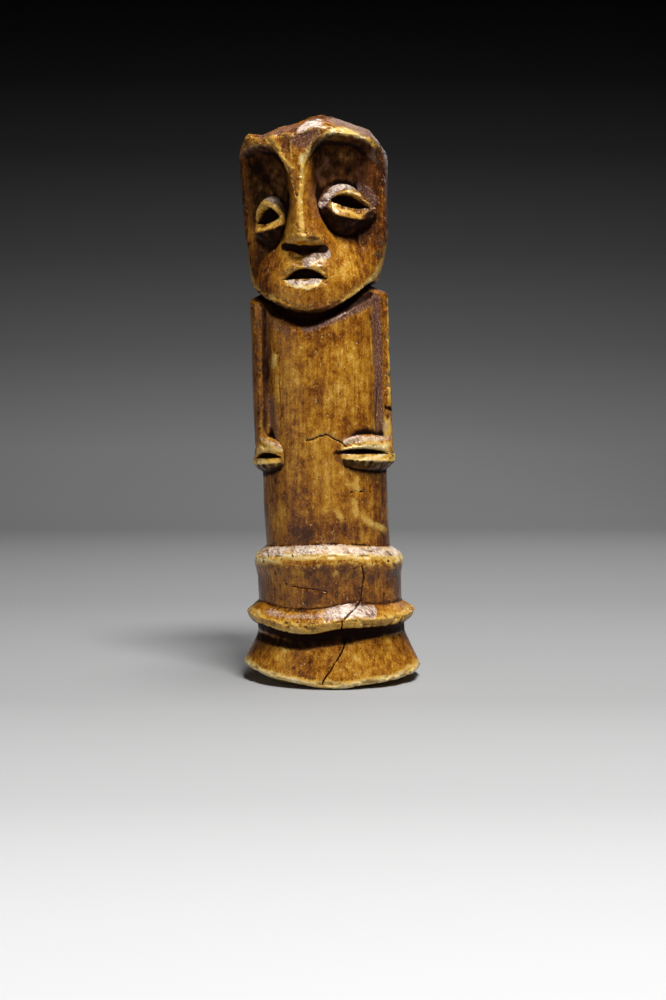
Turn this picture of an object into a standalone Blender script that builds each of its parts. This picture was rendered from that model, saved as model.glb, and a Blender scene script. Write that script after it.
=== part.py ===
"""Lega bone figure: one carved bone, standing on the underside of its own foot.

The figure is a ball of rings and columns, pulled onto a leaning shaft and then carved inwards
and outwards by named functions of the angle round it and the height. The front faces -Y.
HEIGHT is in millimetres. Every other length is in units of 1/150 of the height, which is one
millimetre at the real size, and every angle is in degrees, from the front towards +X.
"""

import collections
import math

import bmesh
import bpy
import numpy as np

HEIGHT = 150.0
METRES = 0.001

COLUMNS = 300
ROWS = 440
TRIANGLES = 9400
CROWN_SHARE = 0.10
UNDERSIDE_SHARE = 0.08

LEAN = 0.0347
BASE_SHIFT = 0.35
DEPTH_RATIO = 0.90
FACE_TURN = -10.0

FOOT_RADIUS = 23.85
FOOT_WAIST_RADIUS = 19.8
FOOT_RIM_FRONT = 0.5
FOOT_RIM_SIDE = 3.2
FOOT_FLARE_TOP = 12.8
CONTACT_SHARE = 0.74
FLAT_WITHIN = 0.02

RING_2_RADIUS = 22.7
RING_2_LOWER = 16.2
RING_2_JOINT = 20.9
BAND_RADIUS = 19.2
RING_1_RADIUS = 20.0
RING_1_EDGE = 32.0
RING_1_JOINT = 35.7
SHAFT_RADIUS = 16.6

ARM_RISE = 1.9
ARM_BACK = 118.0
LEFT_ARM_FRONT = 61.0
RIGHT_ARM_FRONT = 72.0
ARM_GROOVE = 0.55
ARM_FOOT = 62.3
RIGHT_HAND_LINE = 60.2
LEFT_HAND_LINE = 59.2
BASE_SHIFT_HEIGHT = 38.0

JAW_FRONT = 96.7
JAW_RISE = 9.05
JAW_TILT = 0.65
NECK_RADIUS = 14.3
NECK_REACH = 3.6
JAW_RADIUS = 16.2
HEAD_RADIUS = 19.6
MOUTH_LINE = 105.3
NOSE_TIP = 115.8
CHEEK_HEIGHT = 117.5
RIGHT_EYE_LINE = 124.2
LEFT_EYE_LINE = 120.4
RIGHT_BROW_TOP = 142.0
LEFT_BROW_TOP = 140.3
HEAD_FULL_HEIGHT = 138.0
CROWN_MIDDLE = 150.4
CROWN_SAG = 0.026
CROWN_OVERHANG = 0.6
CROWN_BACK = (0.0, 5.6, 10.6, 15.0, 20.0)
CROWN_FALL = (0.0, 0.55, 2.7, 4.9, 7.7)
CROWN_EDGE_ROUND = 2.0
CROWN_EDGE_TURN = 46.0

# The crown from the front: places across the head and the heights over them.
CROWN_ACROSS = (-19.8, -18.4, -17.0, -13.2, -8.8, -4.2, -0.8, 2.6, 5.2, 8.5, 11.7, 14.7, 16.8, 19.0)
CROWN_HEIGHT = (141.0, 143.3, 145.4, 145.2, 147.4, 148.5, 150.1, 150.8, 150.3, 149.2, 148.4, 147.3, 145.1, 141.4)

# A cowrie-like lens: half its width in degrees, its heights over and under the slit's lower
# line, how far its lids stand out, how deep its slit is, the slit's place and half width, how
# much higher its corners lie than its middle, and how blunt the lens's ends are.
Shell = collections.namedtuple(
    "Shell", "half_width top opening shelf under lid depth slit_shift slit_half_width corners bluntness"
)
RIGHT_EYE = Shell(31.0, 6.2, 3.6, 2.8, 4.0, 4.1, 3.5, 3.0, 22.5, 1.1, 0.62)
LEFT_EYE = Shell(17.5, 7.4, 4.7, 2.0, 4.0, 4.0, 3.4, 1.5, 18.0, 1.3, 0.60)
RIGHT_HAND = Shell(46.0, 5.4, 1.9, 1.6, 2.6, 2.8, 2.2, -24.0, 31.0, 0.2, 0.28)
LEFT_HAND = Shell(34.0, 5.9, 1.7, 1.5, 2.2, 2.6, 1.9, -15.0, 19.0, 0.2, 0.30)

BONE_COLOUR = (0.42, 0.22, 0.045)
BONE_ROUGHNESS = 0.32


def ramp(value, start, end):
    """Gives 0 up to start and 1 from end on, in a straight line between."""
    return np.clip((value - start) / (end - start), 0.0, 1.0)


def ease(value, start, end):
    """Gives 0 up to start and 1 from end on, with soft ends."""
    share = ramp(value, start, end)
    return share * share * (3.0 - 2.0 * share)


def bump(value, centre, half_width):
    """Gives 1 at the centre, and falls softly to 0 at half_width on either side."""
    share = np.clip(np.abs(value - centre) / half_width, 0.0, 1.0)
    return (1.0 - share * share) ** 2


def front_share(angle):
    """Gives 1 at the front and 0 from the sides on to the back."""
    return np.maximum(np.cos(np.radians(angle)), 0.0) ** 2


def oval(angle, depth_ratio):
    """The radius of an oval section, as a share of its half width."""
    across = np.sin(np.radians(angle))
    along = np.cos(np.radians(angle)) / depth_ratio
    return 1.0 / np.sqrt(across * across + along * along)


def foot_rim_height(angle):
    """The foot's lower rim, which arches up at the sides."""
    across = np.sin(np.radians(angle))
    side = (1.0 - 0.2 * across) * np.abs(across) ** (1.7 + 0.3 * across)
    wave = 0.12 * np.sin(np.radians(7.0 * angle - 100.0))
    return FOOT_RIM_FRONT + (FOOT_RIM_SIDE - FOOT_RIM_FRONT) * side + wave


def jaw_height(angle):
    """The lower edge of the face and head, lowest at the chin."""
    turned = np.clip(angle + 9.0, -90.0, 90.0)
    across = np.sin(np.radians(turned))
    return JAW_FRONT + (JAW_RISE + JAW_TILT * across) * across ** 2


def ring_2_lower_height(angle):
    """The lower ring's lower edge, which dips left of the middle and rises at the sides."""
    side = np.sin(np.radians(angle))
    dip = 1.7 * bump(angle, -24.0, 37.0)
    return RING_2_LOWER - dip + 1.2 * ease(side, 0.82, 1.0) + 0.6 * ease(-side, 0.85, 1.0)


def lower_body(angle, height):
    """The half width of the foot, the two rings, the band between them and the shaft."""
    rim = foot_rim_height(angle)
    front = front_share(angle)
    ring_2_lower = ring_2_lower_height(angle)
    ring_2_joint = RING_2_JOINT - 0.8 * bump(angle, -28.0, 40.0) + 0.9 * bump(angle, 22.0, 30.0)
    ring_2_edge = ring_2_lower + 1.2 + 0.5 * front
    ring_1_edge = RING_1_EDGE + 0.35 * np.sin(np.radians(5.0 * angle + 20.0))
    ring_1_joint = RING_1_JOINT + 1.3 * front
    flare = ramp(height, FOOT_FLARE_TOP, rim + 1.0) ** 1.2
    radius = FOOT_WAIST_RADIUS + (FOOT_RADIUS - FOOT_WAIST_RADIUS) * flare
    under = 2.5 - 1.2 * front
    radius = radius + (RING_2_RADIUS - 0.5 - FOOT_WAIST_RADIUS) * ease(height, ring_2_lower - under, ring_2_lower)
    radius = radius + 0.5 * ramp(height, ring_2_lower, ring_2_edge)
    radius = radius + (BAND_RADIUS - RING_2_RADIUS) * ramp(height, ring_2_edge, ring_2_joint)
    radius = radius + (RING_1_RADIUS - BAND_RADIUS) * ease(height, ring_1_edge - 5.0, ring_1_edge)
    shoulder = ring_1_joint - 2.0 - 0.6 * front
    radius = radius - 0.6 * ramp(height, ring_1_edge, shoulder)
    radius = radius + (SHAFT_RADIUS - RING_1_RADIUS + 0.6) * ramp(height, shoulder, ring_1_joint)
    return radius


def arm_cover(angle):
    """Gives 1 on the arms and 0 on the chest and the back."""
    left = ease(-angle, LEFT_ARM_FRONT, LEFT_ARM_FRONT + 7.0) * (1.0 - ease(-angle, ARM_BACK - 8.0, ARM_BACK))
    right = ease(angle, RIGHT_ARM_FRONT, RIGHT_ARM_FRONT + 8.0) * (1.0 - ease(angle, ARM_BACK - 8.0, ARM_BACK))
    return left + right


def arm_grooves(angle):
    """The grooves between the arms and the chest, 1 in their beds."""
    left = bump(angle, -LEFT_ARM_FRONT + 2.0, 8.0)
    right = ease(angle, 52.0, 58.0) * (1.0 - ease(angle, RIGHT_ARM_FRONT - 3.0, RIGHT_ARM_FRONT + 2.0))
    back = bump(np.abs(angle), ARM_BACK + 2.0, 7.0)
    return left + right + 0.7 * back


def slit_edges(across, shell):
    """The heights of a slit's lower and upper edge, and how much of its full depth is reached."""
    slit_place = (across - shell.slit_shift) / shell.slit_half_width
    slit_span = np.maximum(1.0 - slit_place ** 2, 0.0)
    low = shell.corners * (1.0 - slit_span)
    high = low + shell.opening * np.maximum(slit_span, 0.02) ** 0.8
    return low, high, ease(slit_span, 0.0, 0.18)


def cowrie(across, height, shell):
    """A shell-like lens with a slit: how far it stands out of the ground that it is carved on.

    across is an angle from the lens's middle, and height is taken from the slit's lower line.
    """
    span = np.maximum(1.0 - (across / shell.half_width) ** 2, 0.0)
    outline = np.maximum(span, 0.01) ** shell.bluntness
    low, high, reached = slit_edges(across, shell)
    lid = shell.lid * np.sqrt(span) * (1.0 - 0.16 * ramp(height, low, high))
    cut = np.minimum(shell.depth, lid) * reached
    crest = 0.5 * (high - low) + (shell.top - 0.5 * shell.opening) * outline
    above = ramp(height, np.minimum(high, crest - 0.2), crest + 0.05)
    below = ramp(-height, shell.shelf * outline, (shell.shelf + shell.under) * outline)
    swell = np.sqrt(1.0 - above ** 2) * (1.0 - below ** 1.3)
    ledge = 0.40 * ramp(height, -shell.shelf * outline, low)
    slit = np.maximum(ramp(height, low - 0.05, low + 0.25), ledge) * ramp(height, high, high - 0.35)
    return lid * swell - cut * slit


def on_hands(angle, height):
    """Each place as seen from the two hands, which wrap round from the front to the sides."""
    return (angle - 62.0, height - RIGHT_HAND_LINE), (-76.0 - angle, height - LEFT_HAND_LINE)


def hands(angle, height):
    """The two hands, each a lens with a slit."""
    right, left = on_hands(angle, height)
    return cowrie(*right, RIGHT_HAND), cowrie(*left, LEFT_HAND)


def torso(angle, height):
    """The shaft between the upper ring and the neck, with its arms and hands."""
    right, left = hands(angle, height)
    hand = np.maximum(right, left)
    along_arm = ease(height, ARM_FOOT - 0.8, ARM_FOOT + 0.7)
    arm = ARM_RISE * arm_cover(angle) * along_arm
    groove = ARM_GROOVE * arm_grooves(angle) * ease(height, ARM_FOOT - 0.3, ARM_FOOT + 3.7)
    return np.maximum(arm, hand) - groove


def sockets(turned, height, brow_height):
    """The two hollows of the face, from the brow down to the cheeks and out to the temples."""
    below = brow_height - height
    side = np.abs(turned)
    ridge = -2.0 + 6.0 * ramp(height, 128.0, 114.0)
    inner = np.abs(turned + 4.0 * ease(height, 112.0, 124.0))
    outer = np.where(turned > 0.0, 60.0, 46.0)
    flank = 20.0 + 16.0 * ramp(height, 127.0, 114.0)
    across = ease(inner, ridge, ridge + flank) * (1.0 - ease(side, outer, 84.0))
    down = ease(below, -0.4, 1.7) * (0.50 + 0.50 * ease(below, 0.0, 14.0))
    cheek = 1.0 - ease(height, 122.0, 102.0)
    return 5.6 * across * down * cheek


def brow(side, middle, top, inner_drop, outer_sag):
    """The height of a brow's arch to one side of the nose, where it has dropped by inner_drop."""
    inner = inner_drop * np.clip((middle - side) / middle, 0.0, 1.2) ** 5
    return top - inner - outer_sag * np.maximum(side - middle, 0.0) ** 2


def brows(turned):
    """The height of the two brows' arches."""
    right = brow(turned, 45.0, RIGHT_BROW_TOP, 9.5, 0.0047)
    left = brow(-turned, 60.0, LEFT_BROW_TOP, 25.0, 0.0030)
    return np.where(turned > 0.0, right, left)


def mouth_opening(turned):
    """The height of the mouth's upper edge, and how much of its depth is reached."""
    mouth_side = (turned + 1.8) / 21.5
    arch = np.maximum(1.0 - mouth_side ** 2, 0.0)
    return MOUTH_LINE + 3.0 * arch, ease(arch, 0.0, 0.12), arch


def nose_and_mouth(turned, height):
    """What stands out of the middle of the face, less what is cut into it."""
    wing = 5.5 + 3.5 * ramp(height, 131.0, 118.0) + 8.0 * ease(height, 119.5, NOSE_TIP)
    middle = -4.0 + 1.5 * ease(height, 120.0, NOSE_TIP)
    on_nose = (1.0 - ramp(np.abs(turned - middle), 0.08 * wing, 1.6 * wing)) ** 1.9
    length = ease(height, 137.0, 130.0) * ease(height, NOSE_TIP - 1.3, NOSE_TIP - 0.1)
    nose = on_nose * length * (0.3 + 1.4 * ramp(height, 130.0, NOSE_TIP))
    muzzle = ease(np.abs(turned + 1.0), 25.0, 6.0)
    lip = muzzle * (1.9 * ease(height, NOSE_TIP - 0.9, NOSE_TIP - 2.0) * (1.0 - ease(height, 111.2, 108.2)))
    nostrils = 0.8 * bump(np.hypot((np.abs(turned + 2.0) - 8.0) / 7.0, (height - 113.1) / 1.5), 0.0, 1.0)
    line = MOUTH_LINE
    opening, inside, arch = mouth_opening(turned)
    slit = 3.0 * inside * ramp(height, opening, opening - 0.35) * ramp(height, line - 0.1, line + 0.2)
    ledge = 1.1 * inside * ramp(height, line + 0.1, line) * (1.0 - ramp(height, line, line - 0.1 - 2.6 * arch))
    return nose - lip - nostrils - slit - ledge


def on_eyes(turned, height):
    """Each place as seen from the two eyes, the left one lower than the right, both drooping outwards."""
    right = turned - 44.5
    left = -turned - 44.5
    right_line = RIGHT_EYE_LINE - 0.6 * right / 30.0
    left_line = LEFT_EYE_LINE - 0.6 * left / 30.0
    return (right, height - right_line), (left, height - left_line)


def eyes(turned, height):
    """The two cowrie eyes."""
    right, left = on_eyes(turned, height)
    return np.maximum(cowrie(*right, RIGHT_EYE), cowrie(*left, LEFT_EYE))


def head(angle, height):
    """The half width of the head before its face is carved, from the jaw to the crown."""
    jaw = jaw_height(angle)
    side = np.sin(np.radians(angle))
    jaw_radius = JAW_RADIUS + 1.9 * front_share(angle) - 1.2 * np.maximum(side, 0.0) + 0.9 * np.maximum(-side, 0.0)
    full = jaw_radius + (HEAD_RADIUS - 0.6 - jaw_radius) * ramp(height, jaw - 0.5, CHEEK_HEIGHT) ** 0.62
    return full + (0.6 + head_side(angle)) * ramp(height, CHEEK_HEIGHT - 3.0, HEAD_FULL_HEIGHT)


def face(angle, height):
    """What the face's carving takes away, negative where it adds."""
    turned = angle - FACE_TURN
    carved = sockets(turned, height, brows(turned))
    return carved - eyes(turned, height) - nose_and_mouth(turned, height)


def neck_reach(angle):
    """How far the neck's hollow reaches below the jaw."""
    return NECK_REACH + 2.4 * bump(angle, -28.0, 45.0)


def surface_radius(angle, height):
    """The distance from the leaning axis to the surface."""
    jaw = jaw_height(angle)
    neck = NECK_RADIUS - 0.7 * np.maximum(np.sin(np.radians(angle)), 0.0)
    body = lower_body(angle, height) + torso(angle, height)
    body = body + (neck - body) * ease(height, jaw - neck_reach(angle), jaw - 0.6)
    top = head(angle, height)
    over = ramp(height, jaw - 0.7, jaw + 0.3)
    half_width = body + (top - body) * over
    radius = half_width * oval(angle, DEPTH_RATIO)
    return radius - over * face(angle, height)


def crown_top(across, along):
    """The height of the crown over a place on the head's plan."""
    carved = np.interp(across, CROWN_ACROSS, CROWN_HEIGHT)
    plain = CROWN_MIDDLE - 0.0185 * across * across
    shown = carved + (plain - carved) * ease(along, -4.0, 10.0)
    cut = np.interp(-along + 0.12 * across, CROWN_BACK, CROWN_FALL)
    return shown - CROWN_OVERHANG - np.where(along > 0.0, CROWN_SAG * along * along, cut)


def round_over(distance, size, turn=90.0):
    """How far an edge, rounded through a turn in degrees, draws in at a distance from its end."""
    reach = math.sin(math.radians(turn))
    share = reach * (1.0 - np.clip(distance / (size * reach), 0.0, 1.0))
    return size * (1.0 - np.sqrt(np.maximum(1.0 - share * share, 0.0)))


def head_side(angle):
    """How much wider the head is on its left."""
    return 0.45 * ease(-np.sin(np.radians(angle)), 0.3, 1.0)


def side_top(angle):
    """The height at which the side turns into the crown."""
    drawn_in = round_over(0.0, CROWN_EDGE_ROUND, CROWN_EDGE_TURN)
    radius = (HEAD_RADIUS + head_side(angle)) * oval(angle, DEPTH_RATIO) - drawn_in
    across = radius * np.sin(np.radians(angle))
    along = -radius * np.cos(np.radians(angle))
    return crown_top(across, along)


def carved_places(angle, share):
    """The place of each point, from its angle and its share of the way from crown to underside."""
    top = side_top(angle)
    bottom = foot_rim_height(angle)
    down = ramp(share, CROWN_SHARE, 1.0 - UNDERSIDE_SHARE)
    height = top + (bottom - top) * down
    radius = surface_radius(angle, height)
    radius = radius - round_over(top - height, CROWN_EDGE_ROUND, CROWN_EDGE_TURN) - round_over(height - bottom, 0.8)
    towards = ramp(share, 0.0, CROWN_SHARE)
    under = ramp(share, 1.0 - UNDERSIDE_SHARE, 1.0)
    radius = radius * towards * (1.0 - under)
    across = radius * np.sin(np.radians(angle))
    along = -radius * np.cos(np.radians(angle))
    height = np.where(share < CROWN_SHARE, crown_top(across, along), height)
    flat = bottom * ease(1.0 - under, CONTACT_SHARE, 1.0)
    height = np.where(share > 1.0 - UNDERSIDE_SHARE, flat, height)
    shift = BASE_SHIFT * ease(height, BASE_SHIFT_HEIGHT + 12.0, BASE_SHIFT_HEIGHT - 12.0)
    return across - LEAN * height + shift, along, height


def make_ball():
    """A ball of rings and columns, as a mesh object."""
    mesh = bpy.data.meshes.new("bone_figure")
    shape = bmesh.new()
    bmesh.ops.create_uvsphere(shape, u_segments=COLUMNS, v_segments=ROWS, radius=1.0)
    shape.to_mesh(mesh)
    shape.free()
    ball = bpy.data.objects.new("bone_figure", mesh)
    return ball


def carve(ball):
    """Moves every vertex of the ball to its place on the figure."""
    mesh = ball.data
    places = np.empty(len(mesh.vertices) * 3)
    mesh.vertices.foreach_get("co", places)
    places = places.reshape(-1, 3)
    angle = np.degrees(np.arctan2(places[:, 0], -places[:, 1]))
    share = np.arccos(np.clip(places[:, 2], -1.0, 1.0)) / math.pi
    carved = np.stack(carved_places(angle, share), axis=1)
    mesh.vertices.foreach_set("co", carved.ravel())
    mesh.update()


def reduce(figure, triangles):
    """Keeps the form and cuts the triangles down to a count."""
    count = sum(len(face.vertices) - 2 for face in figure.data.polygons)
    cut = figure.modifiers.new("fewer_triangles", "DECIMATE")
    cut.ratio = triangles / count
    cut.use_collapse_triangulate = True
    seen = figure.evaluated_get(bpy.context.evaluated_depsgraph_get())
    full = figure.data
    figure.data = bpy.data.meshes.new_from_object(seen)
    figure.modifiers.clear()
    bpy.data.meshes.remove(full)
    figure.data.name = "bone_figure"


def settle(figure):
    """Scales the figure to its height and stands its flat underside at the origin."""
    mesh = figure.data
    places = np.empty(len(mesh.vertices) * 3)
    mesh.vertices.foreach_get("co", places)
    places = places.reshape(-1, 3)
    low = places.min(axis=0)
    high = places.max(axis=0)
    places -= [0.5 * (low[0] + high[0]), 0.5 * (low[1] + high[1]), low[2]]
    places[:, 2] = np.where(places[:, 2] < FLAT_WITHIN, 0.0, places[:, 2])
    places *= HEIGHT * METRES / (high[2] - low[2])
    mesh.vertices.foreach_set("co", places.ravel())
    mesh.update()


def bone_material():
    """Old bone with a golden brown patina."""
    material = bpy.data.materials.new("patinated_bone")
    material.use_nodes = True
    shader = material.node_tree.nodes["Principled BSDF"]
    shader.inputs["Base Color"].default_value = (*BONE_COLOUR, 1.0)
    shader.inputs["Roughness"].default_value = BONE_ROUGHNESS
    shader.inputs["Metallic"].default_value = 0.0
    return material


def main():
    for old in list(bpy.data.objects):
        bpy.data.objects.remove(old, do_unlink=True)
    collection = bpy.data.collections.new("lega_bone_figure")
    bpy.context.scene.collection.children.link(collection)
    figure = make_ball()
    collection.objects.link(figure)
    carve(figure)
    reduce(figure, TRIANGLES)
    settle(figure)
    figure.data.materials.append(bone_material())


main()
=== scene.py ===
"""Lega bone figure, dressed: the carved bone with its fine carving, cracks, wear and patina.

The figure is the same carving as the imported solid, on a finer grid. It replaces that solid, and
its lengths are in millimetres at the real size until settle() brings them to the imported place.
The front faces -Y. Angles are in degrees, from the front towards +X.
"""

import collections
import math

import bpy
import numpy as np
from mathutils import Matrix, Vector


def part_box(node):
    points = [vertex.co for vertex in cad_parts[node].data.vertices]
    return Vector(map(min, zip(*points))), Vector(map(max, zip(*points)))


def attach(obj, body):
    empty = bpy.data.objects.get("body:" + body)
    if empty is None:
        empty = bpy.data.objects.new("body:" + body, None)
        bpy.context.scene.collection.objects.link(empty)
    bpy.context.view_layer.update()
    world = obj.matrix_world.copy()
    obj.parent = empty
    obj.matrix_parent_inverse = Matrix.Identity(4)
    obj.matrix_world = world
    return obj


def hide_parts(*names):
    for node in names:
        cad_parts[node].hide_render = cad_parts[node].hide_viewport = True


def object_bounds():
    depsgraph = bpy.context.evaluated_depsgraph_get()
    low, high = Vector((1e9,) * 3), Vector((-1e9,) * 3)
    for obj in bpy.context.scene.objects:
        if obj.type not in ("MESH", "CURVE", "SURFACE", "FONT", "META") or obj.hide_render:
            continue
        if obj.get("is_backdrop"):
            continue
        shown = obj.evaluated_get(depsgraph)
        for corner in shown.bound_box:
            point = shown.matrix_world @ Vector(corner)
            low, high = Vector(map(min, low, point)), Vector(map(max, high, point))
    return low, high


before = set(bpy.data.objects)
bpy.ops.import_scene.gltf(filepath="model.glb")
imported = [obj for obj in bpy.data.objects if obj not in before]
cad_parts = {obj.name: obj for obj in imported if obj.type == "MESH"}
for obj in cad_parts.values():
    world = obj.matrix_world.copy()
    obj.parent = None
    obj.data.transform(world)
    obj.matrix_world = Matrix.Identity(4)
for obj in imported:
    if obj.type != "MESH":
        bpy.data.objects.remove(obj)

CAD_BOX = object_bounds()

COLUMNS = 620
CROWN_ROWS = 80
SIDE_ROWS = 760
UNDERSIDE_ROWS = 60
FRONT_FOCUS = 0.42
TRIANGLES = 196000
CROWN_SHARE = 0.10
UNDERSIDE_SHARE = 0.08

LEAN = 0.0347
BASE_SHIFT = 0.35
DEPTH_RATIO = 0.90
FACE_TURN = -10

FOOT_RADIUS = 23.85
FOOT_WAIST_RADIUS = 19.8
FOOT_RIM_FRONT = 0.5
FOOT_RIM_SIDE = 3.2
FOOT_FLARE_TOP = 12.8
CONTACT_SHARE = 0.74
UNDERSIDE_ROUND = 0.8

RING_2_RADIUS = 22.7
RING_2_LOWER = 16.2
RING_2_JOINT = 20.9
BAND_RADIUS = 19.2
RING_1_RADIUS = 20
RING_1_EDGE = 32
RING_1_JOINT = 35.7
SHAFT_RADIUS = 16.6

ARM_RISE = 1.9
ARM_BACK = 118
LEFT_ARM_FRONT = 61
RIGHT_ARM_FRONT = 72
ARM_GROOVE = 0.55
ARM_FOOT = 62.3
RIGHT_HAND_LINE = 60.2
LEFT_HAND_LINE = 59.2
BASE_SHIFT_HEIGHT = 38

JAW_FRONT = 96.7
JAW_RISE = 9.05
JAW_TILT = 0.65
NECK_RADIUS = 14.3
NECK_REACH = 3.6
JAW_RADIUS = 16.2
HEAD_RADIUS = 19.6
MOUTH_LINE = 105.3
NOSE_TIP = 115.8
CHEEK_HEIGHT = 117.5
RIGHT_EYE_LINE = 124.2
LEFT_EYE_LINE = 120.4
RIGHT_BROW_TOP = 142
LEFT_BROW_TOP = 140.3
HEAD_FULL_HEIGHT = 138
CROWN_MIDDLE = 150.4
CROWN_SAG = 0.026
CROWN_OVERHANG = 0.6
CROWN_BACK = (0, 5.6, 10.6, 15, 20)
CROWN_FALL = (0, 0.55, 2.7, 4.9, 7.7)
CROWN_EDGE_ROUND = 2
CROWN_EDGE_TURN = 46

# The crown from the front: places across the head and the heights over them.
CROWN_ACROSS = (-19.8, -18.4, -17, -13.2, -8.8, -4.2, -0.8, 2.6, 5.2, 8.5, 11.7, 14.7, 16.8, 19)
CROWN_HEIGHT = (
    141, 143.3, 145.4, 145.2, 147.4, 148.5, 150.1, 150.8, 150.3, 149.2, 148.4, 147.3, 145.1, 141.4
)

# A cowrie-like lens: half its width in degrees, its heights over and under the slit's lower
# line, how far its lids stand out, how deep its slit is, the slit's place and half width, how
# much higher its corners lie than its middle, and how blunt the lens's ends are.
Shell = collections.namedtuple(
    "Shell", "half_width top opening shelf under lid depth slit_shift slit_half_width corners bluntness"
)
RIGHT_EYE = Shell(31, 6.2, 3.6, 2.8, 4, 4.1, 3.5, 3, 22.5, 1.1, 0.62)
LEFT_EYE = Shell(17.5, 7.4, 4.7, 2, 4, 4, 3.4, 0.8, 15.5, 1.3, 0.60)
RIGHT_HAND = Shell(46, 5.4, 1.9, 1.6, 2.6, 2.8, 2.2, -24, 31, 0.2, 0.28)
LEFT_HAND = Shell(34, 5.9, 1.7, 1.5, 2.2, 2.6, 1.9, -15, 19, 0.2, 0.30)
EYES = (RIGHT_EYE, LEFT_EYE)
HANDS = (RIGHT_HAND, LEFT_HAND)
EYE_ANGLE = 44.5
EYE_DROOP = 0.6
EYE_DROOP_SPAN = 30
RIGHT_HAND_ANGLE = 62
LEFT_HAND_ANGLE = 76

SOCKET_DEPTH = 5.6
MOUTH_ANGLE = 1.8
MOUTH_HALF_WIDTH = 21.5
MOUTH_RISE = 3
MOUTH_DEPTH = 3

# The camera that took the photograph, and where its middle falls in the frame.
CAMERA_PLACE = (0.0007, -0.3398, 0.0609)
CAMERA_PITCH = 2.2
FOCAL_PIXELS = 1255
IMAGE_WIDTH = 666
IMAGE_HEIGHT = 1000
MM_PER_METRE = 1000


def ramp(value, start, end):
    """Gives 0 up to start and 1 from end on, in a straight line between."""
    return np.clip((value - start) / (end - start), 0, 1)


def ease(value, start, end):
    """Gives 0 up to start and 1 from end on, with soft ends."""
    share = ramp(value, start, end)
    return share * share * (3 - 2 * share)


def bump(value, centre, half_width):
    """Gives 1 at the centre, and falls softly to 0 at half_width on either side."""
    share = np.clip(np.abs(value - centre) / half_width, 0, 1)
    return (1 - share * share) ** 2


def front_share(angle):
    """Gives 1 at the front and 0 from the sides on to the back."""
    return np.maximum(np.cos(np.radians(angle)), 0) ** 2


def oval(angle, depth_ratio):
    """The radius of an oval section, as a share of its half width."""
    across = np.sin(np.radians(angle))
    along = np.cos(np.radians(angle)) / depth_ratio
    return 1 / np.sqrt(across * across + along * along)


def foot_rim_height(angle):
    """The foot's lower rim, which arches up at the sides."""
    across = np.sin(np.radians(angle))
    side = (1 - 0.2 * across) * np.abs(across) ** (1.7 + 0.3 * across)
    wave = 0.12 * np.sin(np.radians(7 * angle - 100))
    return FOOT_RIM_FRONT + (FOOT_RIM_SIDE - FOOT_RIM_FRONT) * side + wave


def jaw_height(angle):
    """The lower edge of the face and head, lowest at the chin."""
    turned = np.clip(angle + 9, -90, 90)
    across = np.sin(np.radians(turned))
    return JAW_FRONT + (JAW_RISE + JAW_TILT * across) * across ** 2


def ring_2_lower_height(angle):
    """The lower ring's lower edge, which dips left of the middle and rises at the sides."""
    side = np.sin(np.radians(angle))
    dip = 1.7 * bump(angle, -24, 37)
    return RING_2_LOWER - dip + 1.2 * ease(side, 0.82, 1) + 0.6 * ease(-side, 0.85, 1)


def lower_body(angle, height):
    """The half width of the foot, the two rings, the band between them and the shaft."""
    rim = foot_rim_height(angle)
    front = front_share(angle)
    ring_2_lower = ring_2_lower_height(angle)
    ring_2_joint = RING_2_JOINT - 0.8 * bump(angle, -28, 40) + 0.9 * bump(angle, 22, 30)
    ring_2_edge = ring_2_lower + 1.2 + 0.5 * front
    ring_1_edge = RING_1_EDGE + 0.35 * np.sin(np.radians(5 * angle + 20))
    ring_1_joint = RING_1_JOINT + 1.3 * front
    flare = ramp(height, FOOT_FLARE_TOP, rim + 1) ** 1.2
    radius = FOOT_WAIST_RADIUS + (FOOT_RADIUS - FOOT_WAIST_RADIUS) * flare
    under = 2.5 - 1.2 * front
    step = RING_2_RADIUS - 0.5 - FOOT_WAIST_RADIUS
    radius = radius + step * ease(height, ring_2_lower - under, ring_2_lower)
    radius = radius + 0.5 * ramp(height, ring_2_lower, ring_2_edge)
    radius = radius + (BAND_RADIUS - RING_2_RADIUS) * ramp(height, ring_2_edge, ring_2_joint)
    radius = radius + (RING_1_RADIUS - BAND_RADIUS) * ease(height, ring_1_edge - 5, ring_1_edge)
    shoulder = ring_1_joint - 2 - 0.6 * front
    radius = radius - 0.6 * ramp(height, ring_1_edge, shoulder)
    radius = radius + (SHAFT_RADIUS - RING_1_RADIUS + 0.6) * ramp(height, shoulder, ring_1_joint)
    return radius


def arm_cover(angle):
    """Gives 1 on the arms and 0 on the chest and the back."""
    left = ease(-angle, LEFT_ARM_FRONT, LEFT_ARM_FRONT + 7)
    right = ease(angle, RIGHT_ARM_FRONT, RIGHT_ARM_FRONT + 8)
    return (left + right) * (1 - ease(np.abs(angle), ARM_BACK - 8, ARM_BACK))


def arm_grooves(angle):
    """The grooves between the arms and the chest, 1 in their beds."""
    left = bump(angle, -LEFT_ARM_FRONT + 2, 8)
    right = ease(angle, 52, 58) * (1 - ease(angle, RIGHT_ARM_FRONT - 3, RIGHT_ARM_FRONT + 2))
    back = bump(np.abs(angle), ARM_BACK + 2, 7)
    return left + right + 0.7 * back


def slit_edges(across, shell):
    """The heights of a slit's lower and upper edge, and how much of its full depth is reached."""
    slit_place = (across - shell.slit_shift) / shell.slit_half_width
    slit_span = np.maximum(1 - slit_place ** 2, 0)
    low = shell.corners * (1 - slit_span)
    high = low + shell.opening * np.maximum(slit_span, 0.02) ** 0.8
    return low, high, ease(slit_span, 0, 0.18)


def in_slit(across, height, shell):
    """1 inside a lens's slit."""
    low, high, reached = slit_edges(across, shell)
    return reached * ramp(height, low - 0.15, low + 0.1) * ramp(height, high - 0.05, high - 0.35)


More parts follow.
